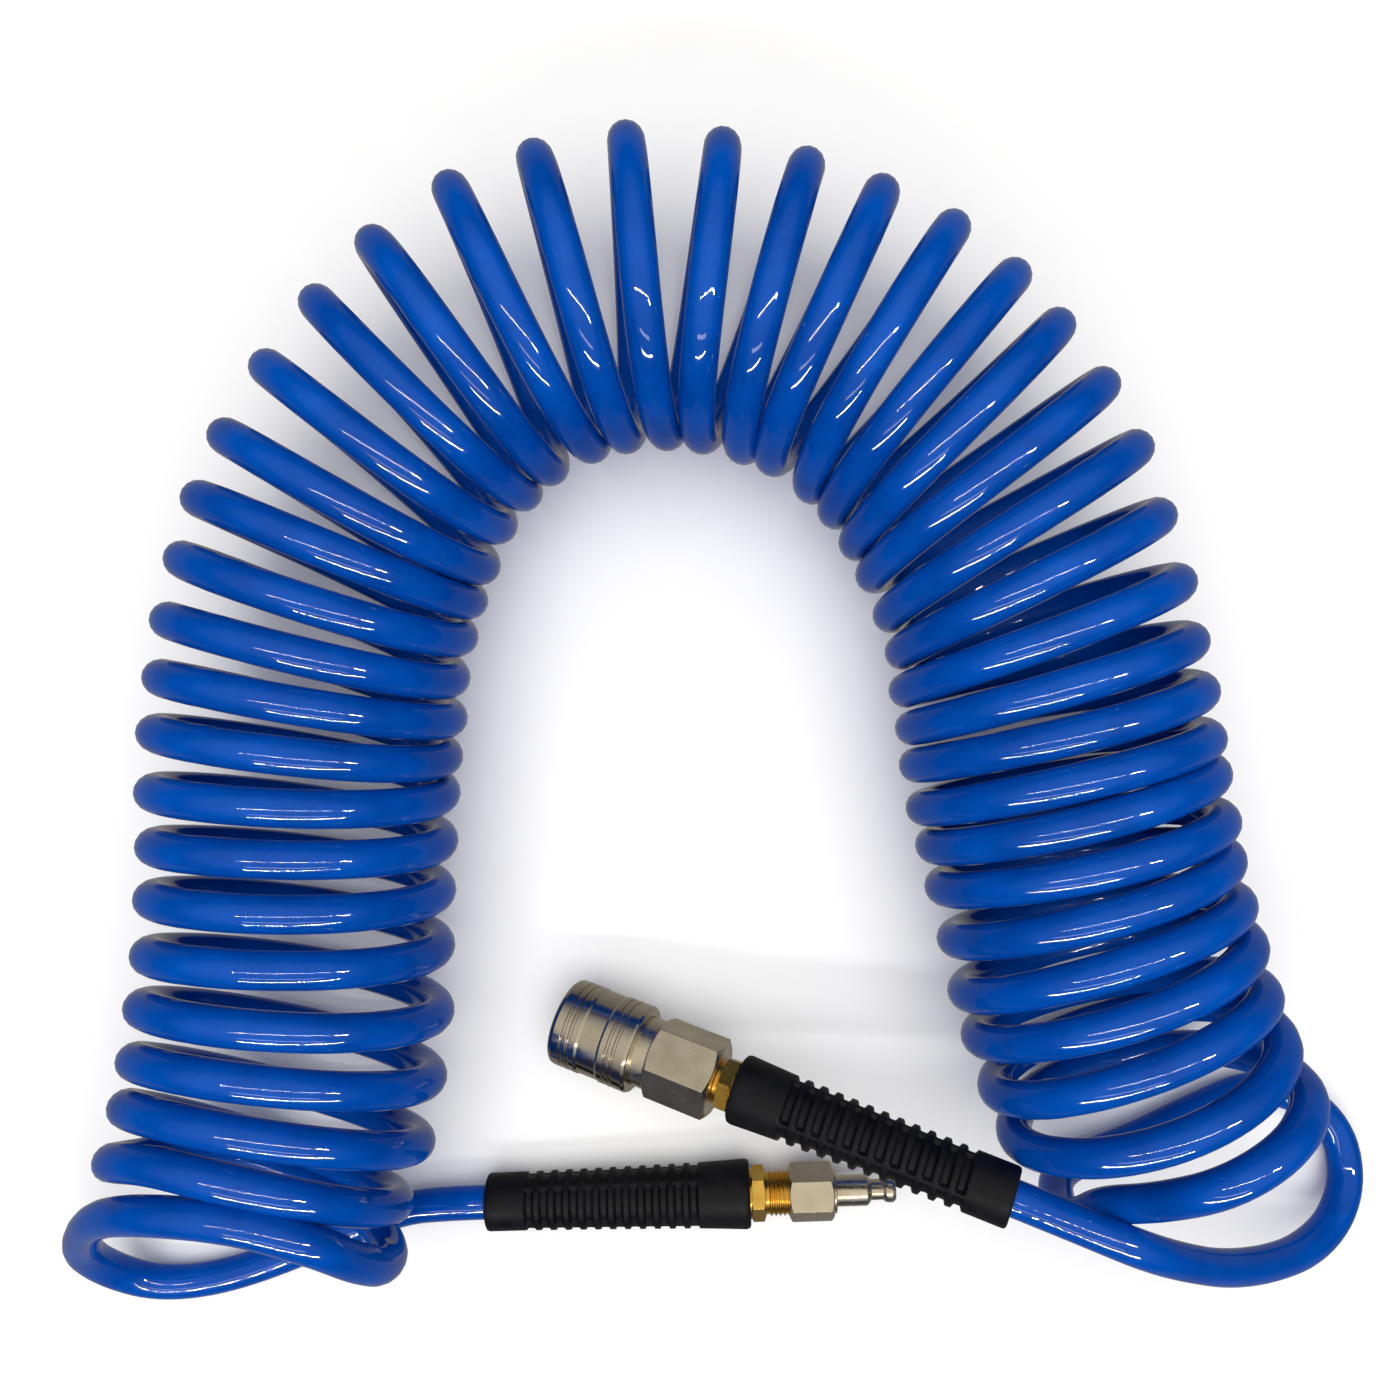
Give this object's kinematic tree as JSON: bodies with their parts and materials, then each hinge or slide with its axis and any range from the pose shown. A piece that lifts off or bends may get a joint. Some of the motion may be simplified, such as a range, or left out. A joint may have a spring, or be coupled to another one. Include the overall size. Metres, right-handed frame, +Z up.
{
  "type": "coiled air hose",
  "caption": "Coiled air hose with black bend restrictors, a swivelling quick plug on one end and a swivelling quick coupler with a locking sleeve on the other.",
  "frame": {"origin": "on the floor under the middle of the object's box", "axes": "+Z up; the coil bends round an arch that opens towards -Y, with both fittings lying inside the arch, the plug roughly along +X"},
  "size_m": [0.3869, 0.3394, 0.084],
  "materials": {
    "hose_blue": "glossy polyurethane, slightly translucent",
    "boot_rubber": "satin black",
    "brass": "machined",
    "nickel": "nickel plated, bright machined",
    "steel": "bright",
    "seal_rubber": "matt nitrile"
  },
  "bodies": {
    "hose": {"coil_body": "hose_blue", "hose_tail_plug_side": "hose_blue", "hose_tail_coupler_side": "hose_blue", "boot_plug_side": "boot_rubber", "hose_end_plug_side": "hose_blue", "barb_stem_plug_side": "brass", "crimp_ferrule_plug_side": "nickel", "snap_ring_plug_side": "steel", "swivel_o_ring_plug_side": "seal_rubber", "boot_coupler_side": "boot_rubber", "hose_end_coupler_side": "hose_blue", "barb_stem_coupler_side": "brass", "crimp_ferrule_coupler_side": "nickel", "snap_ring_coupler_side": "steel", "swivel_o_ring_coupler_side": "seal_rubber"},
    "plug": {"swivel_nipple_plug_side": "brass", "plug_body": "nickel", "plug_thread_seal": "seal_rubber"},
    "coupler": {"swivel_nipple_coupler_side": "brass", "coupler_body": "nickel", "ball_cage": "nickel", "sleeve_stop_ring": "steel", "sleeve_spring": "steel", "body_o_ring": "seal_rubber", "body_thread_seal": "seal_rubber", "valve_guide": "brass", "valve_spring": "steel"},
    "sleeve": {"locking_sleeve": "nickel"},
    "valve": {"valve_poppet": "brass", "poppet_seal": "seal_rubber"},
    "ball_1": {"locking_ball_1": "steel"},
    "ball_2": {"locking_ball_2": "steel"},
    "ball_3": {"locking_ball_3": "steel"},
    "ball_4": {"locking_ball_4": "steel"}
  },
  "joints": [
    {"name": "plug_swivel", "type": "hinge", "parent": "hose", "child": "plug", "pos_m": [-0.00272, -0.13593, 0.00988], "axis": [0.9989, 0.041, 0.0206], "continuous": true},
    {"name": "coupler_swivel", "type": "hinge", "parent": "hose", "child": "coupler", "pos_m": [0.00815, -0.09913, 0.03279], "axis": [0.9107, -0.2632, 0.3183], "continuous": true},
    {"name": "sleeve_slide", "type": "slide", "parent": "coupler", "child": "sleeve", "axis": [0.9107, -0.2632, 0.3183], "range_m": [0, 0.00415], "stiffness_N_per_m": 1500, "springref_m": -0.006, "deforming": ["sleeve_spring"]},
    {"name": "valve_slide", "type": "slide", "parent": "coupler", "child": "valve", "axis": [0.9107, -0.2632, 0.3183], "range_m": [0, 0.004], "stiffness_N_per_m": 800, "springref_m": -0.004, "deforming": ["valve_spring"]},
    {"name": "ball_1_slide", "type": "slide", "parent": "coupler", "child": "ball_1", "axis": [-0.4125, -0.6168, 0.6703], "range_m": [0, 0.00151]},
    {"name": "ball_2_slide", "type": "slide", "parent": "coupler", "child": "ball_2", "axis": [0.0199, -0.7418, -0.6703], "range_m": [0, 0.00151]},
    {"name": "ball_3_slide", "type": "slide", "parent": "coupler", "child": "ball_3", "axis": [0.4125, 0.6168, -0.6703], "range_m": [0, 0.00151]},
    {"name": "ball_4_slide", "type": "slide", "parent": "coupler", "child": "ball_4", "axis": [-0.0199, 0.7418, 0.6703], "range_m": [0, 0.00151]}
  ],
  "couplings": [
    {"joint": "ball_1_slide", "follows": "sleeve_slide", "ratio": 0.36397},
    {"joint": "ball_2_slide", "follows": "sleeve_slide", "ratio": 0.36397},
    {"joint": "ball_3_slide", "follows": "sleeve_slide", "ratio": 0.36397},
    {"joint": "ball_4_slide", "follows": "sleeve_slide", "ratio": 0.36397}
  ]
}
